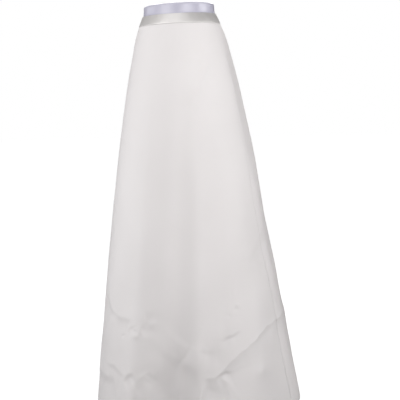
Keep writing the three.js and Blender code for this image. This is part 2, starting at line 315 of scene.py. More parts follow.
# egg-shaped sections, from the hem up to the band's top
skirtSections = {
    "height": [0.008, 0.170, 0.350, 0.530, 0.690, 0.820, 0.930, 1.010, 1.070, 1.105, 1.132],
    "halfWidth": [0.2810, 0.2645, 0.2437, 0.2210, 0.2002, 0.1817, 0.1640, 0.1481, 0.1358, 0.1251, 0.1141],
    "frontDepth": [0.2627, 0.2473, 0.2267, 0.2033, 0.1811, 0.1617, 0.1426, 0.1244, 0.1107, 0.1001, 0.0902],
    "backDepth": [0.4015, 0.3571, 0.3130, 0.2662, 0.2313, 0.2026, 0.1744, 0.1475, 0.1227, 0.1036, 0.0913],
}

# soft upright waves: angle at the waist and at the hem, where each starts, its spread and its
# depth at the hem, out of the plain section above zero and into it below
waveColumns = ("atWaist", "atHem", "starts", "spread", "depth")
skirtWaves = [
    (38, 27, 1.040, 0.050, -0.018),
    (6, 3, 1.000, 0.056, 0.013),
    (52, 39, 0.820, 0.034, 0.006),
    (66, 57, 0.560, 0.030, -0.006),
    (84, 84, 0.900, 0.058, 0.004),
    (101, 115, 1.060, 0.046, 0.013),
    (156, 157, 0.940, 0.050, 0.010),
    (170, 172, 0.860, 0.036, -0.012),
    (-172, -174, 0.900, 0.048, 0.009),
    (-146, -150, 0.960, 0.050, -0.014),
    (-118, -124, 0.940, 0.060, 0.012),
    (-88, -94, 1.000, 0.046, -0.013),
    (-56, -66, 0.620, 0.050, 0.005),
]

# creases: a line that bows a little between two places given as angle and height. The cloth comes
# to a crest on the line, with a raised lip before it, and drops away on the left of the way the
# line runs: near is how soon it drops, far how soon it comes back, soft how round the crest is.
# Rise and fall are the shares of the line over which it fades; a depth below zero is a valley
creaseColumns = ("startAngle", "startHeight", "endAngle", "endHeight", "bow",
                 "soft", "near", "far", "depth", "lip", "rise", "fall")
skirtCreases = [
    # the long slanting fold at the right, its lower bound, and the pocket at its end
    (120, 0.2790, 53, 0.1415, -0.023, 0.0025, 0.0180, 0.0600, 0.0075, 0.0014, 0.15, 0.10),
    (82, 0.1710, 60, 0.1455, 0.000, 0.0025, 0.0050, 0.0140, 0.0018, 0.0002, 0.40, 0.30),
    (65, 0.1520, 52, 0.1405, 0.000, 0.0020, 0.0045, 0.0180, 0.0060, 0.0006, 0.45, 0.25),
    (112, 0.5280, 81, 0.4330, -0.003, 0.0045, 0.0140, 0.0400, 0.0052, 0.0010, 0.25, 0.35),
    # the hollow under the pocket, and its two sides
    (62, 0.1230, 44, 0.1370, -0.004, 0.0025, 0.0240, 0.0900, 0.0080, 0.0008, 0.20, 0.20),
    (47, 0.1335, 36, 0.0500, 0.003, 0.0025, 0.0090, 0.0320, 0.0040, 0.0022, 0.20, 0.40),
    (66, 0.0600, 60, 0.1230, 0.000, 0.0020, 0.0050, 0.0300, 0.0014, 0.0000, 0.25, 0.30),
    # short soft breaks above and beside it
    (72, 0.2560, 54, 0.2400, 0.003, 0.0025, 0.0050, 0.0150, 0.0050, 0.0000, 0.35, 0.40),
    (59, 0.2085, 44, 0.2150, 0.000, 0.0060, 0.0160, 0.0500, 0.0036, 0.0002, 0.35, 0.35),
    (44, 0.2420, 26, 0.1660, 0.002, 0.0035, 0.0120, 0.0500, -0.0060, 0.0000, 0.35, 0.35),
    (27, 0.1600, 38.5, 0.2260, 0.002, 0.0030, 0.0110, 0.0360, -0.0040, 0.0000, 0.30, 0.25),
    (36, 0.2170, 49, 0.1950, 0.003, 0.0030, 0.0080, 0.0260, -0.0030, 0.0000, 0.30, 0.40),
    # the flute on the left breaks at two heights
    (-19, 0.2910, -39, 0.3590, 0.003, 0.0030, 0.0110, 0.0340, 0.0042, 0.0008, 0.30, 0.40),
    (1, 0.2890, -27, 0.3040, 0.002, 0.0040, 0.0150, 0.0400, 0.0060, 0.0010, 0.30, 0.45),
    (8.5, 0.3300, 3, 0.2500, 0.003, 0.0035, 0.0080, 0.0200, 0.0070, 0.0014, 0.40, 0.30),
    (3, 0.2800, -5, 0.2740, 0.000, 0.0020, 0.0045, 0.0100, 0.0038, 0.0006, 0.40, 0.40),
    (-3, 0.1340, -33, 0.1580, -0.004, 0.0022, 0.0080, 0.0300, 0.0026, 0.0005, 0.25, 0.40),
    (2, 0.1530, -7, 0.1170, 0.000, 0.0035, 0.0085, 0.0200, 0.0090, 0.0012, 0.35, 0.35),
    (11, 0.1580, 6, 0.1240, 0.000, 0.0025, 0.0055, 0.0140, 0.0062, 0.0010, 0.40, 0.40),
    (-15, -0.0300, -16, 0.1260, 0.000, 0.0050, 0.0360, 0.0800, 0.0140, 0.0006, 0.10, 0.20),
    (22, 0.2900, 5, -0.0300, 0.004, 0.0060, 0.0460, 0.0850, 0.0290, 0.0004, 0.40, 0.05),
    # high on the front
    (42, 0.8560, 76, 1.0400, 0.000, 0.0035, 0.0080, 0.0300, -0.0066, 0.0000, 0.35, 0.35),
    (52, 0.3965, 64, 0.5165, 0.006, 0.0100, 0.0200, 0.0500, 0.0014, 0.0004, 0.50, 0.50),
    # the left side and the back, turned away
    (-60, 0.2700, -124, 0.1450, 0.016, 0.0030, 0.0200, 0.0600, 0.0060, 0.0010, 0.35, 0.10),
    (-112, 0.1600, -125, 0.1440, 0.000, 0.0020, 0.0045, 0.0180, 0.0055, 0.0006, 0.45, 0.25),
    (-118, 0.1200, -134, 0.1340, -0.004, 0.0025, 0.0090, 0.0300, 0.0022, 0.0008, 0.25, 0.25),
    (-172, 0.3415, -126, 0.2415, 0.016, 0.0050, 0.0200, 0.0600, 0.0044, 0.0010, 0.40, 0.30),
    (178, 0.2200, 132, 0.1100, -0.010, 0.0030, 0.0200, 0.0600, 0.0060, 0.0010, 0.35, 0.15),
    (140, 0.1320, 130, 0.1100, 0.000, 0.0020, 0.0050, 0.0160, 0.0040, 0.0006, 0.40, 0.30),
    (170, 0.3565, 148, 0.5565, 0.012, 0.0080, 0.0200, 0.0500, 0.0034, 0.0008, 0.30, 0.50),
    (-82, 0.4365, -108, 0.6465, -0.018, 0.0080, 0.0200, 0.0500, 0.0030, 0.0008, 0.30, 0.50),
    (-48, 1.0400, -66, 0.8500, 0.008, 0.0080, 0.0180, 0.0450, 0.0024, 0.0006, 0.45, 0.45),
    (164, 0.8600, 146, 1.0200, 0.008, 0.0080, 0.0180, 0.0450, 0.0024, 0.0006, 0.45, 0.45),
    (-152, 0.8700, -166, 1.0000, -0.008, 0.0080, 0.0180, 0.0450, 0.0022, 0.0006, 0.45, 0.45),
    (158, 0.0865, 148, 0.1465, 0.003, 0.0030, 0.0070, 0.0200, 0.0024, 0.0006, 0.40, 0.40),
]

# soft swellings and hollows: angle, height, half size across and up, depth
dentColumns = ("angle", "height", "across", "up", "depth")
skirtDents = [
    (70.5, 0.3285, 0.007, 0.006, 0.0012),
    (70, 0.3165, 0.010, 0.005, -0.0010),
    (63.5, 0.3015, 0.008, 0.004, -0.0008),
    (100, 0.2150, 0.018, 0.036, 0.0026),
    (87, 0.1350, 0.028, 0.018, 0.0030),
    (118, 0.1865, 0.014, 0.034, -0.0026),
    (2, 0.2500, 0.011, 0.009, 0.0012),
    (-4.5, 0.2720, 0.006, 0.009, 0.0010),
    (0.5, 0.2710, 0.007, 0.004, 0.0010),
    (5, 0.2630, 0.006, 0.008, 0.0012),
    (-10.5, 0.2425, 0.006, 0.004, -0.0010),
    (12, 0.2880, 0.012, 0.012, 0.0016),
    (3, 0.1080, 0.014, 0.022, 0.0022),
    (9, 0.1350, 0.012, 0.010, 0.0016),
    (38, 0.1720, 0.028, 0.042, 0.0042),
    (22, 0.0000, 0.052, 0.180, -0.0150),
    (-3, 0.0100, 0.050, 0.170, 0.0080),
    (134, 0.0200, 0.045, 0.110, -0.0040),
    (50, 0.0825, 0.020, 0.030, -0.0012),
    (-120, 0.1165, 0.030, 0.024, 0.0030),
    (-100, 0.2965, 0.026, 0.040, 0.0030),
    (138, 0.2565, 0.024, 0.036, 0.0030),
    (-160, 0.1965, 0.026, 0.030, -0.0035),
    (166, 0.2265, 0.018, 0.026, -0.0035),
    (-134, 0.4165, 0.030, 0.050, 0.0025),
]


def readColumn(table, column, height):
    # a smooth cubic Hermite curve through the column, whose slope at each row is the mean of the
    # two beside it, each weighed with the other's step
    heights = np.array(table["height"])
    values = np.array(table[column])
    step = np.diff(heights)
    rise = np.diff(values) / step
    inner = (rise[:-1] * step[1:] + rise[1:] * step[:-1]) / (step[1:] + step[:-1])
    slope = np.concatenate([rise[:1], inner, rise[-1:]])
    row = np.clip(np.searchsorted(heights, height) - 1, 0, len(heights) - 2)
    part = (height - heights[row]) / step[row]
    level = values[row] + (values[row + 1] - values[row]) * part * part * (3 - 2 * part)
    bend = slope[row] * part * (1 - part) ** 2 - slope[row + 1] * part * part * (1 - part)
    return level + step[row] * bend


def sectionPoint(table, angle, height, outward):
    # an egg-shaped section, a half ellipse in front and a deeper one behind: x is the half width
    # times the sine, y minus the depth times the cosine, then moved out along its own normal
    halfWidth = readColumn(table, "halfWidth", height)
    turn = np.radians(angle)
    inFront = np.cos(turn) > 0
    depth = np.where(inFront, readColumn(table, "frontDepth", height), readColumn(table, "backDepth", height))
    normalX = depth * np.sin(turn)
    normalY = -halfWidth * np.cos(turn)
    size = np.hypot(normalX, normalY)
    return np.stack([halfWidth * np.sin(turn) + outward * normalX / size,
                     -depth * np.cos(turn) + outward * normalY / size,
                     height + 0 * turn], axis=-1)


def arcFrom(middle, angle, halfWidth):
    # the way round the skirt from a middle angle: the shorter difference in radians times the half width
    return np.radians(np.mod(angle - middle + 180, 360) - 180) * halfWidth


def downShare(height):
    # 0 at the waistband and above it, 1 at the floor
    return np.clip(1 - height / skirtForm["bandBottom"], 0, 1)


waveGrowth = {"power": 1.3, "spreadAtStart": 0.45}


def waveDepth(wave, angle, height, halfWidth, growth=waveGrowth):
    # a bell across the wave, e to the minus square of arc over spread, whose spread grows evenly
    # from its start to the hem and whose depth grows with a power of the same share
    grown = np.clip((wave["starts"] - height) / wave["starts"], 0, 1)
    middle = wave["atWaist"] + (wave["atHem"] - wave["atWaist"]) * downShare(height)
    spread = wave["spread"] * (growth["spreadAtStart"] + (1 - growth["spreadAtStart"]) * grown)
    across = arcFrom(middle, angle, halfWidth) / spread
    return wave["depth"] * grown ** growth["power"] * np.exp(-across ** 2)


# size of the push, then its waves for each metre round and each metre up, and its phase
wanderRound = [(0.0026, 17, 61, 0.6), (0.0012, -53, 147, 0.0)]
wanderUp = [(0.0026, 57, -23, 2.1), (0.0012, 139, 71, 1.0)]


def wandered(arc, height):
    # sine waves push the places about by up to four millimetres, so that no line is quite true
    def push(rows):
        return sum(size * np.sin(arc * each + height * eachUp + phase) for size, each, eachUp, phase in rows)
    return arc + push(wanderRound), height + push(wanderUp)


def creaseDepth(crease, angle, height, halfWidth):
    # along runs from 0 to 1 on the straight way between the two ends, across is the distance to its
    # left less the bow, a parabola. Past is across where that is over zero and nothing elsewhere,
    # with a rounded corner, and before is the same for the other side; the drop is the difference
    # of two exponentials of past, and the lip falls off exponentially to both sides
    middle = (crease["startAngle"] + crease["endAngle"]) / 2
    arc, level = wandered(arcFrom(middle, angle, halfWidth), height)
    widthThere = float(np.interp((crease["startHeight"] + crease["endHeight"]) / 2,
                                 skirtSections["height"], skirtSections["halfWidth"]))
    spanRound = math.radians(crease["endAngle"] - crease["startAngle"]) * widthThere
    spanUp = crease["endHeight"] - crease["startHeight"]
    fromStart, aboveStart = arc + spanRound / 2, level - crease["startHeight"]
    along = (fromStart * spanRound + aboveStart * spanUp) / (spanRound ** 2 + spanUp ** 2)
    across = (aboveStart * spanRound - fromStart * spanUp) / math.hypot(spanRound, spanUp)
    across -= crease["bow"] * 4 * along * (1 - along)
    past = (across + np.sqrt(across ** 2 + crease["soft"] ** 2)) / 2
    before = past - across
    drop = crease["depth"] * (np.exp(-past / crease["far"]) - np.exp(-past / crease["near"]))
    lip = crease["lip"] * np.exp(-before / (3 * crease["soft"]) - past / crease["near"])
    fade = smoothStep(along / crease["rise"]) * smoothStep((1 - along) / crease["fall"])
    return fade * (lip - drop)


def dentDepth(dent, angle, height, halfWidth):
    # a bell both ways: e to the minus sum of the two squares of distance over half size
    arc, level = wandered(arcFrom(dent["angle"], angle, halfWidth), height)
    return dent["depth"] * np.exp(-(arc / dent["across"]) ** 2 - ((level - dent["height"]) / dent["up"]) ** 2)


ripple = {
    "seed": 7, "count": 26, "amplitude": 0.00034, "longest": 0.30, "shortest": 0.07,
    "lean": 0.5,               # usual slant of a ripple from upright, in radians
    "top": 1.1, "fade": 0.5,   # full from this height less the fade
}


def rippleDepth(angle, height, halfWidth, spec=ripple):
    # the sum of many weak sine waves with seeded directions, lengths and phases, so that no stretch
    # is quite even; longer ones weigh more
    chance = np.random.RandomState(spec["seed"])
    arc = np.radians(angle) * halfWidth
    total = np.zeros(angle.shape)
    for _ in range(spec["count"]):
        length = chance.uniform(spec["shortest"], spec["longest"])
        lean = chance.normal(0, spec["lean"])
        phase = chance.uniform(0, 2 * np.pi)
        total += length * np.sin(2 * np.pi * (arc * np.cos(lean) + height * np.sin(lean)) / length + phase)
    return spec["amplitude"] * smoothStep((spec["top"] - height) / spec["fade"]) * total / spec["longest"]


def sideSeamAngle(height):
    # a straight change from the seam's angle at the waist towards the one at the hem
    return skirtForm["seamAtWaist"] + (skirtForm["seamAtHem"] - skirtForm["seamAtWaist"]) * downShare(height)


seamRidge = {
    "rise": 0.0028, "before": 0.034, "after": 0.018,
    "hollow": 0.7, "hollowAt": 0.036, "hollowWidth": 0.022,
    "top": 1.08, "topFade": 0.12,          # it grows in under the waistband
    "low": 0.84, "lowFade": 0.24,          # and fades out again under the hip,
    "left": 0.1,                           # down to this share of it
}


def ridgeDepth(angle, height, halfWidth, spec=seamRidge):
    # the cloth turns a soft corner at each side seam: a bell along the seam, wider on its front
    # side, less a bell behind it
    past = np.radians(np.abs(angle) - sideSeamAngle(height)) * halfWidth
    width = np.where(past < 0, spec["before"], spec["after"])
    fadedOut = (1 - spec["left"]) * smoothStep((spec["low"] - height) / spec["lowFade"])
    grown = smoothStep((spec["top"] - height) / spec["topFade"]) * (1 - fadedOut)
    behind = spec["hollow"] * np.exp(-((past - spec["hollowAt"]) / spec["hollowWidth"]) ** 2)
    return spec["rise"] * grown * (np.exp(-(past / width) ** 2) - behind)


def foldDepth(angle, height):
    # the sum of every fold's depth, less the step under the waistband's edge
    halfWidth = readColumn(skirtSections, "halfWidth", height)
    depth = rippleDepth(angle, height, halfWidth) + ridgeDepth(angle, height, halfWidth)
    folds = ((waveColumns, skirtWaves, waveDepth), (creaseColumns, skirtCreases, creaseDepth),
             (dentColumns, skirtDents, dentDepth))
    for columns, rows, oneDepth in folds:
        for row in rows:
            depth += oneDepth(dict(zip(columns, row)), angle, height, halfWidth)
    under = smoothStep((height - skirtForm["bandBottom"] + skirtForm["bandBlend"]) / skirtForm["bandBlend"])
    return depth - skirtForm["bandProud"] * under


def satinMaterial(name, spec):
    # an even weave of fine floats on the cloth's own metres, a slow change of tone and two
    # sizes of relief: the yarns, and the slight unevenness of a heavy cloth
    material, tree, shader = nodeMaterial(
        name, Roughness=spec["roughness"], Specular_IOR_Level=spec["specular"],
        Anisotropic=spec["anisotropic"], Metallic=spec["metallic"])
    uv = addNode(tree, "ShaderNodeUVMap", uv_map="cloth").outputs["UV"]
    tone = addNode(tree, "ShaderNodeTexNoise", Vector=uv, Scale=spec["toneScale"], Detail=3.0)
    ramp = addNode(tree, "ShaderNodeValToRGB", Fac=tone.outputs["Fac"])
    tones = (spec["deep"], spec["pale"])
    for stop, place, colour in zip(ramp.color_ramp.elements, spec["tonePlaces"], tones):
        stop.position = place
        stop.color = (*colour, 1)
    tree.links.new(ramp.outputs["Color"], shader.inputs["Base Color"])
    height = None
    for direction, share in spec["yarns"]:
        yarn = addNode(tree, "ShaderNodeTexWave", wave_type="BANDS", bands_direction=direction,
                       Vector=uv, Scale=spec["yarnScale"], Distortion=0.6, Detail=1.0)
        scaled = addNode(tree, "ShaderNodeMath", operation="MULTIPLY")
        scaled.inputs[1].default_value = share
        tree.links.new(yarn.outputs["Fac"], scaled.inputs[0])
        if height is None:
            height = scaled
        else:
            joined = addNode(tree, "ShaderNodeMath", operation="ADD")
            tree.links.new(height.outputs[0], joined.inputs[0])
            tree.links.new(scaled.outputs[0], joined.inputs[1])
            height = joined
    slub = addNode(tree, "ShaderNodeTexNoise", Vector=uv, Scale=spec["slubScale"], Detail=4.0)
    broad = addNode(tree, "ShaderNodeBump", Strength=1.0, Distance=spec["slubDepth"],
                    Height=slub.outputs["Fac"])
    fine = addNode(tree, "ShaderNodeBump", Strength=1.0, Distance=spec["yarnDepth"],
                   Height=height.outputs[0], Normal=broad.outputs["Normal"])
    tree.links.new(fine.outputs["Normal"], shader.inputs["Normal"])
    tangent = addNode(tree, "ShaderNodeTangent", direction_type="UV_MAP", uv_map="cloth")
    tree.links.new(tangent.outputs["Tangent"], shader.inputs["Tangent"])
    return material


# yarns: the two directions and their shares of the fine relief
satin = {
    "tonePlaces": (0.3, 0.7), "yarns": (("X", 0.35), ("Y", 0.65)), "yarnScale": 560.0, "yarnDepth": 0.00003,
}
skirtSatin = {
    **satin, "deep": (0.775, 0.742, 0.738), "pale": (0.811, 0.778, 0.775), "toneScale": 3.0,
    "roughness": 0.54, "specular": 0.28, "anisotropic": 0.25, "metallic": 0.0,
    "slubScale": 130.0, "slubDepth": 0.00006,
}
bandSatin = {
    **satin, "deep": (0.745, 0.718, 0.704), "pale": (0.780, 0.753, 0.739), "toneScale": 9.0,
    "roughness": 0.44, "specular": 0.6, "anisotropic": 0.5, "metallic": 0.62,
    "slubScale": 150.0, "slubDepth": 0.00008,
}
skirtCloth = satinMaterial("skirtSatin", skirtSatin)
bandCloth = satinMaterial("bandSatin", bandSatin)


def addRelief(tree, shader, source, strength, depth=0.0001):
    # a bump from a pattern's own value, a share of the depth
    bump = addNode(tree, "ShaderNodeBump", Strength=strength, Distance=depth, Height=source.outputs["Fac"])
    tree.links.new(bump.outputs["Normal"], shader.inputs["Normal"])


silkThread = {
    "colour": (0.78, 0.765, 0.735), "roughness": 0.5, "sheen": 0.2, "twistScale": 900.0, "twist": 0.6,
}


def threadMaterial(name, spec):
    # twisted thread: a slanting fine band as relief
    material, tree, shader = nodeMaterial(
        name, Base_Color=(*spec["colour"], 1), Roughness=spec["roughness"], Sheen_Weight=spec["sheen"])
    place = addNode(tree, "ShaderNodeTexCoord").outputs["Object"]
    twist = addNode(tree, "ShaderNodeTexWave", bands_direction="DIAGONAL", Vector=place,
                    Scale=spec["twistScale"])
    addRelief(tree, shader, twist, spec["twist"])
    return material


thread = threadMaterial("silkThread", silkThread)

shellSkin = {
    "colour": (0.53, 0.515, 0.615), "shade": 0.97, "driftScale": 7.0, "roughness": 0.36, "specular": 0.6,
    "coat": 0.35, "coatRoughness": 0.3, "peelScale": 420.0, "peel": 0.25,
}


def formMaterial(name, spec):
    # a sprayed shell: even colour with a faint drift, and a little orange peel under the shine
    material, tree, shader = nodeMaterial(
        name, Roughness=spec["roughness"], Specular_IOR_Level=spec["specular"],
        Coat_Weight=spec["coat"], Coat_Roughness=spec["coatRoughness"])
    place = addNode(tree, "ShaderNodeTexCoord").outputs["Object"]
    drift = addNode(tree, "ShaderNodeTexNoise", Vector=place, Scale=spec["driftScale"], Detail=2.0)
    ramp = addNode(tree, "ShaderNodeValToRGB", Fac=drift.outputs["Fac"])
    for stop, share in zip(ramp.color_ramp.elements, (spec["shade"], 1)):
        stop.color = (*[share * part for part in spec["colour"]], 1)
    tree.links.new(ramp.outputs["Color"], shader.inputs["Base Color"])
    peel = addNode(tree, "ShaderNodeTexNoise", Vector=place, Scale=spec["peelScale"], Detail=1.0)
    addRelief(tree, shader, peel, spec["peel"])
    return material


formShell = formMaterial("formShell", shellSkin)

brushed = {"colour": (0.55, 0.56, 0.57), "streaks": (40, 40, 900), "roughness": (0.26, 0.42), "relief": 0.3}


def steelMaterial(name, spec):
    # brushed round the axis: fine level streaks in the roughness and relief
    material, tree, shader = nodeMaterial(name, Base_Color=(*spec["colour"], 1), Metallic=1.0)
    place = addNode(tree, "ShaderNodeTexCoord").outputs["Object"]
    stretch = addNode(tree, "ShaderNodeMapping", Vector=place, Scale=spec["streaks"])
    streaks = addNode(tree, "ShaderNodeTexNoise", Vector=stretch.outputs["Vector"], Scale=1.0, Detail=3.0)
    spread = addNode(tree, "ShaderNodeMapRange", Value=streaks.outputs["Fac"])
    spread.inputs["To Min"].default_value, spread.inputs["To Max"].default_value = spec["roughness"]
    tree.links.new(spread.outputs["Result"], shader.inputs["Roughness"])
    addRelief(tree, shader, streaks, spec["relief"])
    return material


steel = steelMaterial("brushedSteel", brushed)
print("materials made")

panelGrid = {
    "rows": 247,
    "frontColumns": 321,
    "backColumns": 129,
    "fineBelow": 0.37,       # rows lie closer together under this height
    "fineShare": 0.45,       # the share of the rows that lie there
    "hemRows": 0.02,         # the share that lies in the rolled hem
    "hemHeight": 0.006,
    "hemRoll": 0.0012,       # the hem is rolled in by this, fading over hemReach
    "hemReach": 0.0025,
    "crowd": 0.12,           # how far the columns are drawn towards the seams
    "seamShare": 0.3,        # each edge stands back from its seam by this share of the seam gap
    "seamDip": 0.00008,      # the turned-in edges roll down into the seam
    "seamRoll": 0.0014,
    "pucker": 0.00012,       # the stitching draws them up and down a little
    "puckerLength": 0.013,
    "puckerReach": 0.009,
}


def rowHeights(grid):
    # three straight stretches: a few close rows for the rolled hem, then fine ones, then wider ones
    hem, top = skirtForm["hem"], skirtForm["bandBottom"] - skirtForm["seamGap"]
    places = [0, grid["hemRows"], grid["fineShare"], 1]
    levels = [hem, hem + grid["hemHeight"], grid["fineBelow"], top]
    return np.interp(np.linspace(0, 1, grid["rows"]), places, levels)


def panelSurface(columns, firstAngle, lastAngle, grid=panelGrid):
    # rows run from the hem to the waistband and columns from seam to seam, evenly but for a share of
    # half a cosine; the outer face is the folded section, less exponentials at the seams and the hem
    height = rowHeights(grid)[:, None]
    even = np.linspace(0, 1, columns)[None, :]
    across = even + (0.5 - 0.5 * np.cos(np.pi * even) - even) * grid["crowd"]
    halfWidth = readColumn(skirtSections, "halfWidth", height)
    inset = np.degrees(grid["seamShare"] * skirtForm["seamGap"] / halfWidth)
    first = firstAngle(height) + inset
    last = lastAngle(height) - inset
    angle = first + (last - first) * across
    height = height + 0 * angle
    flat = sectionPoint(skirtSections, angle, height, 0 * angle)
    run = arcLengths(flat, 1)
    toSeam = np.minimum(run, run[:, -1:] - run)
    pucker = grid["pucker"] * np.sin(2 * np.pi * height / grid["puckerLength"])
    outward = (foldDepth(angle, height) - grid["seamDip"] * np.exp(-toSeam / grid["seamRoll"])
               + pucker * np.exp(-toSeam / grid["puckerReach"])
               - grid["hemRoll"] * np.exp(-(height - skirtForm["hem"]) / grid["hemReach"]))
    points = sectionPoint(skirtSections, angle, height, outward)
    uv = np.stack([run - run[:, -1:] / 2, arcLengths(flat, 0)], axis=-1)
    return points, uv


def makePanel(name, node, columns, firstAngle, lastAngle):
    # one cloth wall between the two seams, each given as an angle for every height
    points, uv = panelSurface(columns, firstAngle, lastAngle)
    panel = wallObject(name, points, skirtForm["wall"], uv, skirtCloth)
    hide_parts(node)
    print("panel", name, "made")


makePanel("skirtFront", "skirt_front", panelGrid["frontColumns"],
          lambda height: -sideSeamAngle(height), sideSeamAngle)
makePanel("skirtBackRight", "skirt_back_right", panelGrid["backColumns"],
          sideSeamAngle, lambda height: 180 + 0 * height)
makePanel("skirtBackLeft", "skirt_back_left", panelGrid["backColumns"],
          lambda height: -180 + 0 * height, lambda height: -sideSeamAngle(height))

waistband = {
    "wall": 0.0025,
    "innerSlack": 0.0004,    # left free between the band and the form's seat
    "lap": 8.0,              # half the lap at centre back, in degrees
    "climb": 11.0,           # the upper end climbs over the lower one in this angle
    "endShort": 0.5,         # and stops this much short of the lap's end
    "columns": 421,
    "rows": 15,
    "edgeRound": 0.0002,     # the folded edges turn in by this, fading over edgeReach
    "edgeReach": 0.0012,
    "belly": 0.0001,         # the folded band is a little fuller in its middle
    "uneven": [(0.00012, 9, 0, 1.3), (0.00008, 23, 3, 0)],   # size, waves round, shift up it, phase
}


def bandOutward(angle, up, spec=waistband):
    # a smooth step at the lap, half a sine across the band, less an exponential at both edges, and
    # two weak sine waves round it
    climbed = (angle - (180 - spec["lap"] - spec["climb"])) / spec["climb"]
    lift = (spec["wall"] + skirtForm["seamGap"]) * smoothStep(climbed)
    edge = np.minimum(up, 1 - up) * (skirtForm["bandTop"] - skirtForm["bandBottom"])
    rounding = spec["edgeRound"] * np.exp(-edge / spec["edgeReach"])
    uneven = sum(size * np.sin(np.radians(angle) * turns + up * rise + phase)
                 for size, turns, rise, phase in spec["uneven"])
    return lift + spec["belly"] * np.sin(np.pi * up) - rounding + uneven


def makeWaistband(spec):
    # a cloth wall round the sections between the band's two edges, its rows crowded towards them
    up = (0.5 - 0.5 * np.cos(np.pi * np.linspace(0, 1, spec["rows"])))[:, None]
    angle = np.linspace(-180 - spec["lap"], 180 + spec["lap"] - spec["endShort"], spec["columns"])[None, :]
    height = skirtForm["bandBottom"] + (skirtForm["bandTop"] - skirtForm["bandBottom"]) * up + 0 * angle
    outer = sectionPoint(skirtSections, angle + 0 * up, height, bandOutward(angle, up))
    uv = np.stack([arcLengths(outer, 1), arcLengths(outer, 0)], axis=-1)
    band = wallObject("waistbandCloth", outer, spec["wall"] - spec["innerSlack"], uv, bandCloth)
    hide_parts("waistband")


makeWaistband(waistband)

coveredButton = {
    "radius": 0.008, "rise": 0.0045,
    "lift": 0.00065,                           # clears the curve of the lap
    "sides": 72, "rings": 26,
    "backShare": 0.3, "backRadius": 0.93,      # the first rings are the flat back, a little narrower
    "rim": 0.0006, "domePower": 0.75,
    "gathers": 14, "gatherDepth": 0.012, "gatherAt": 0.34, "gatherWidth": 0.07,
}


def backSeat(lift):
    # the point over the lap at centre back, the band's own outward direction there, and its up; its
    # slope is the depth it loses over its own height
    low, high = skirtSections["backDepth"][-2:]
    slope = math.atan2(low - high, skirtForm["bandTop"] - skirtForm["bandBottom"])
    middle = (skirtForm["bandTop"] + skirtForm["bandBottom"]) / 2
    depth = float(readColumn(skirtSections, "backDepth", np.array(middle)))
    out = np.array([0, math.cos(slope), math.sin(slope)])
    rise = np.array([0, -math.sin(slope), math.cos(slope)])
    lap = np.array([0, depth + waistband["wall"] + skirtForm["seamGap"], middle])
    return lap + out * lift, out, rise


def makeButton(spec):
    # a turned profile: straight out over the flat back, then a dome whose radius is a power of the
    # cosine and whose height is the sine, with faint sine gathers where the cloth goes round the edge
    seat, out, rise = backSeat(spec["lift"])
    side = np.array([1.0, 0, 0])
    turn = np.linspace(0, 2 * np.pi, spec["sides"], endpoint=False)[None, :]
    arc = np.linspace(0, 1, spec["rings"])[:, None]
    onBack = arc < spec["backShare"]
    dome = np.pi / 2 * np.clip((arc - spec["backShare"]) / (1 - spec["backShare"]), 0, 1)
    radius = spec["radius"] * np.where(onBack, spec["backRadius"] * arc / spec["backShare"],
                                       np.cos(dome) ** spec["domePower"])
    level = np.where(onBack, 0, spec["rim"] + (spec["rise"] - spec["rim"]) * np.sin(dome)) + 0 * turn
    gathered = spec["gatherDepth"] * np.exp(-((arc - spec["gatherAt"]) / spec["gatherWidth"]) ** 2)
    radius = radius * (1 + gathered * np.sin(spec["gathers"] * turn))
    points = (seat + radius[..., None] * (np.cos(turn)[..., None] * side + np.sin(turn)[..., None] * rise)
              + level[..., None] * out)
    faces = gridFaces(*points.shape[:2], closed=True)
    uv = np.stack([radius * np.cos(turn), radius * np.sin(turn)], axis=-1).reshape(-1, 2)
    button = meshObject("coveredButton", points.reshape(-1, 3), faces, bandCloth, uv=uv)
    mended(button)
    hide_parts("waist_button")


makeButton(coveredButton)
print("waistband and button made")

formShape = {
    "top": 1.162,
    "edgeRound": 0.006,
    "dome": 0.003,
    "inside": 0.0029,        # it stands this far inside the waistband's outer face
    "columns": 224,
    "rows": 90,
    "cornerRings": 9,
    "capRings": 14,
    "underRings": 10,
}
formBelow = {
    "height": [0.800, 0.850, 0.925, 1.000, 1.060],
    "halfWidth": [0.147, 0.154, 0.156, 0.1445, 0.133],
    "frontDepth": [0.104, 0.114, 0.121, 0.117, 0.1075],
    "backDepth": [0.116, 0.128, 0.136, 0.129, 0.116],
}
formAbove = {
    "height": [1.150, 1.162],
    "halfWidth": [0.109, 0.1086],
    "frontDepth": [0.0854, 0.085],
    "backDepth": [0.0864, 0.086],
}


def formTable():
    # the table of the form, with the waistband's levels worked out from the band's inside
    rested = np.linspace(skirtForm["bandBottom"], skirtForm["bandTop"], 3)
    table = {"height": [*formBelow["height"], *rested, *formAbove["height"]]}
    for column in ("halfWidth", "frontDepth", "backDepth"):
        middle = readColumn(skirtSections, column, rested) - formShape["inside"]
        table[column] = [*formBelow[column], *middle, *formAbove[column]]
    return table


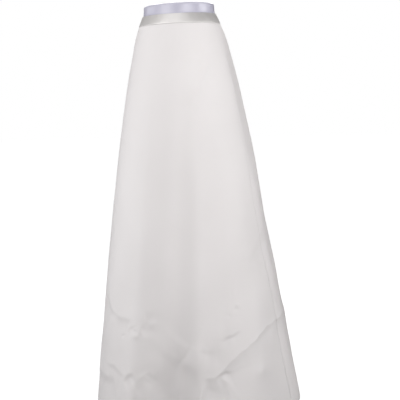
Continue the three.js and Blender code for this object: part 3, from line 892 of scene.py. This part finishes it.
def makeForm(spec):
    # stacked egg-shaped rings, then a quarter round at the top edge, then a low dome, a parabola,
    # to its pole; the underside is flat
    table = formTable()
    angle = np.linspace(0, 360, spec["columns"], endpoint=False)[None, :]
    start = formBelow["height"][0]
    straight = np.linspace(start, spec["top"] - spec["edgeRound"], spec["rows"])[:, None]
    wall = sectionPoint(table, angle + 0 * straight, straight + 0 * angle, 0 * straight + 0 * angle)
    turn = np.linspace(0, np.pi / 2, spec["cornerRings"])[1:, None]
    level = spec["top"] - spec["edgeRound"] + spec["edgeRound"] * np.sin(turn)
    drawnIn = spec["edgeRound"] * (1 - np.cos(turn))
    corner = sectionPoint(table, angle + 0 * turn, level + 0 * angle, -drawnIn + 0 * angle)
    inwards = np.linspace(0, 1, spec["capRings"])[1:, None, None]
    cap = corner[-1:] * (1 - inwards)
    cap[..., 2] = spec["top"] + spec["dome"] * (1 - (1 - inwards[..., 0]) ** 2) + 0 * angle
    under = wall[:1] * np.linspace(0, 1, spec["underRings"])[:-1, None, None]
    under[..., 2] = start
    points = np.concatenate([under, wall, corner, cap])
    faces = gridFaces(*points.shape[:2], closed=True)
    form = meshObject("formShell", points.reshape(-1, 3), faces, formShell)
    mended(form)
    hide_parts("form")


makeForm(formShape)

stand = {
    "poleRadius": 0.0125, "poleFoot": 0.0083, "poleHead": 0.7997, "poleEdge": 0.0006,
    "flangeRadius": 0.046, "flange": 0.004,
    "baseRadius": 0.160, "basePlate": 0.008, "baseEdge": 0.0015,
    "collarRadius": 0.022, "collarTop": 0.042, "bore": 0.0128,
    "bevelShare": 0.4,       # a bevel takes no more of a side than this
    "flatFrom": 0.9,         # faces that look up or down more than this are shaded flat
    "sides": 120,
}


def softened(pairs, edge, spec=stand):
    # a polyline of radius and height with each inner corner cut by a small straight bevel
    pairs = np.array(pairs)
    out = [pairs[0]]
    for before, here, after in zip(pairs[:-2], pairs[1:-1], pairs[2:]):
        out += [here + way * min(edge / np.linalg.norm(way), spec["bevelShare"])
                for way in (before - here, after - here)]
    out.append(pairs[-1])
    return np.array(out)


def turnedPiece(name, node, pairs, edge, spec=stand):
    # a profile of radius and height carried round the upright axis, x with the cosine and y the sine
    profile = softened(pairs, edge)
    turn = np.linspace(0, 2 * np.pi, spec["sides"], endpoint=False)[None, :]
    radius, height = profile[:, :1], profile[:, 1:]
    points = np.stack([radius * np.cos(turn), radius * np.sin(turn), height + 0 * turn], axis=-1)
    faces = gridFaces(*points.shape[:2], closed=True)
    piece = meshObject(name, points.reshape(-1, 3), faces, steel)
    mended(piece)
    normals = np.empty(3 * len(piece.data.polygons), dtype=np.float32)
    piece.data.polygons.foreach_get("normal", normals)
    piece.data.polygons.foreach_set("use_smooth", np.abs(normals[2::3]) < spec["flatFrom"])
    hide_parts(node)


def makeStand(spec):
    # the pole ends in a flange under the form, and stands in the collar of the round base
    underFlange = spec["poleHead"] - spec["flange"]
    turnedPiece("standPole", "pole", [
        (0, spec["poleFoot"]), (spec["poleRadius"], spec["poleFoot"]), (spec["poleRadius"], underFlange),
        (spec["flangeRadius"], underFlange), (spec["flangeRadius"], spec["poleHead"]), (0, spec["poleHead"]),
    ], spec["poleEdge"])
    turnedPiece("standBase", "base", [
        (0, 0), (spec["baseRadius"], 0), (spec["baseRadius"], spec["basePlate"]),
        (spec["collarRadius"], spec["basePlate"]), (spec["collarRadius"], spec["collarTop"]),
        (spec["bore"], spec["collarTop"]), (spec["bore"], spec["basePlate"]), (0, spec["basePlate"]),
    ], spec["baseEdge"])


makeStand(stand)
print("form and stand made")

# one stitch is a six-sided rod: places along its length, and how thick it is at each
stitchRod = {
    "sides": 6,
    "along": (-0.5, -0.4, -0.15, 0.15, 0.4, 0.5),
    "thick": (0.25, 0.8, 1.0, 1.0, 0.8, 0.25),
}


def makeStitches(name, centres, tangents, normals, length, radius, rod=stitchRod):
    # a low rod with pinched ends for each stitch, placed by its own tangent, side and normal: centre
    # plus length along the tangent plus radius times cosine of the side and sine of the normal
    ring = np.linspace(0, 2 * np.pi, rod["sides"], endpoint=False)[:, None]
    sides = np.cross(normals, tangents)[:, None, None]
    around = np.cos(ring) * sides + np.sin(ring) * normals[:, None, None]
    along = length * np.array(rod["along"])[:, None, None] * tangents[:, None, None]
    points = centres[:, None, None] + along + radius * np.array(rod["thick"])[:, None, None] * around
    tube = gridFaces(len(rod["along"]), rod["sides"], closed=True)
    nearEnd = np.array([[0, 5, 4, 3], [0, 3, 2, 1]])
    farEnd = np.array([[0, 1, 2, 3], [0, 3, 4, 5]]) + (len(rod["along"]) - 1) * rod["sides"]
    starts = np.arange(len(centres))[:, None, None] * len(rod["along"]) * rod["sides"]
    faces = (np.concatenate([tube, nearEnd, farEnd]) + starts).reshape(-1, 4)
    mended(meshObject(name, points.reshape(-1, 3), faces, thread))


def surfaceFrame(angle, height, outward, stepRound=0.2, stepUp=0.002):
    # points on the folded cloth with the directions round it, up it and out of it, from short steps
    def at(angle, height):
        return sectionPoint(skirtSections, angle, height, foldDepth(angle, height) + outward)
    here = at(angle, height)
    across = at(angle + stepRound, height) - here
    rise = at(angle, height + stepUp) - here
    normal = np.cross(across, rise)
    return [here] + [way / np.linalg.norm(way, axis=-1, keepdims=True) for way in (across, rise, normal)]


placket = {
    "angle": -5.2,           # degrees from centre back
    "top": 1.102,
    "bottom": 0.930,
    "pitch": 0.0032,
    "length": 0.0024,
    "radius": 0.00022,
    "over": 0.0001,          # how far they stand over the cloth
    "turnCount": 5,          # the last stitches run across to the seam,
    "turnDrop": 0.001,       # this much lower
    "turnEnd": 179.6,
}


def makePlacketStitches(spec):
    # one row beside the opening below the waistband, which turns in to the seam at its lower end
    count = int((spec["top"] - spec["bottom"]) / spec["pitch"])
    start = 180 + spec["angle"]
    angle = np.concatenate([np.full(count, start), np.linspace(start, spec["turnEnd"], spec["turnCount"])])
    height = np.concatenate([np.linspace(spec["top"], spec["bottom"], count),
                             np.full(spec["turnCount"], spec["bottom"] - spec["turnDrop"])])
    centres, across, rise, normals = surfaceFrame(angle, height, spec["over"])
    tangents = np.concatenate([rise[:count], across[count:]])
    makeStitches("placketStitches", centres, tangents, normals, spec["length"], spec["radius"])


makePlacketStitches(placket)
print("stitches made")
